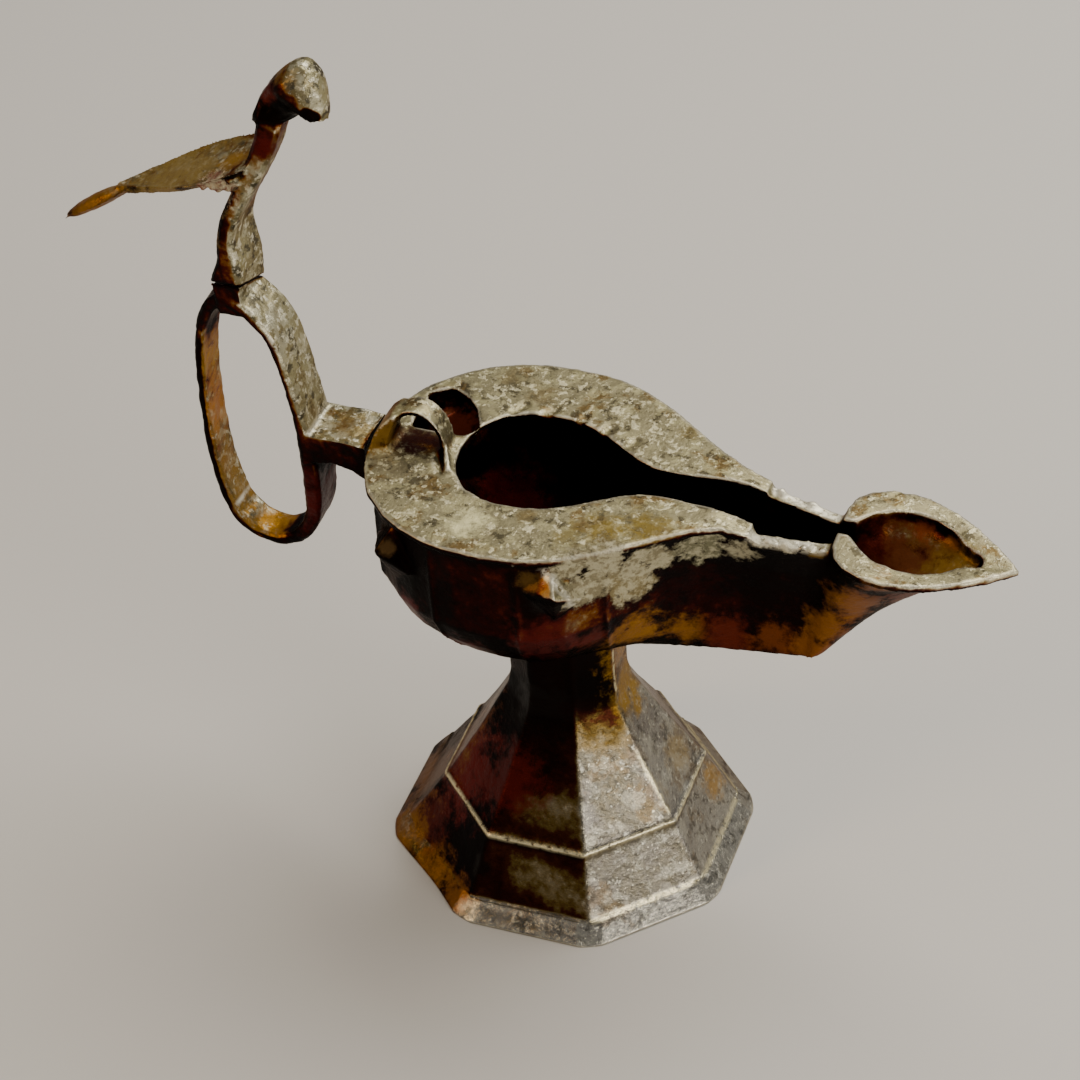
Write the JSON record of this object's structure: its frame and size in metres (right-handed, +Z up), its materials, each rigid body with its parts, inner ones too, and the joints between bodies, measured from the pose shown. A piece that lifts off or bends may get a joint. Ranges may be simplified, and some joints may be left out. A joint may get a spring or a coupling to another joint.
{
  "type": "bronze oil lamp",
  "caption": "Cast bronze oil lamp: a covered bowl with a wick channel and almond nozzle on an octagonal bell foot, with a ring handle that carries a bird.",
  "frame": {"origin": "on the surface that the lamp stands on, at the middle of the lamp's length and width, 4.3 mm behind the foot's own axis", "axes": "+X along the lamp towards the nozzle, +Z up, +Y to the side away from the picture's camera"},
  "size_m": [0.2242, 0.0832, 0.2144],
  "materials": {
    "foot_bronze": "dark patinated bronze with worn edges",
    "bowl_bronze": "grey-green patinated bronze, rough",
    "handle_bronze": "patinated bronze, pitted",
    "bird_bronze": "patinated bronze, worn bright on top"
  },
  "bodies": {
    "root": {"foot": "foot_bronze", "bowl": "bowl_bronze", "handle": "handle_bronze", "bird": "bird_bronze"}
  },
  "joints": []
}
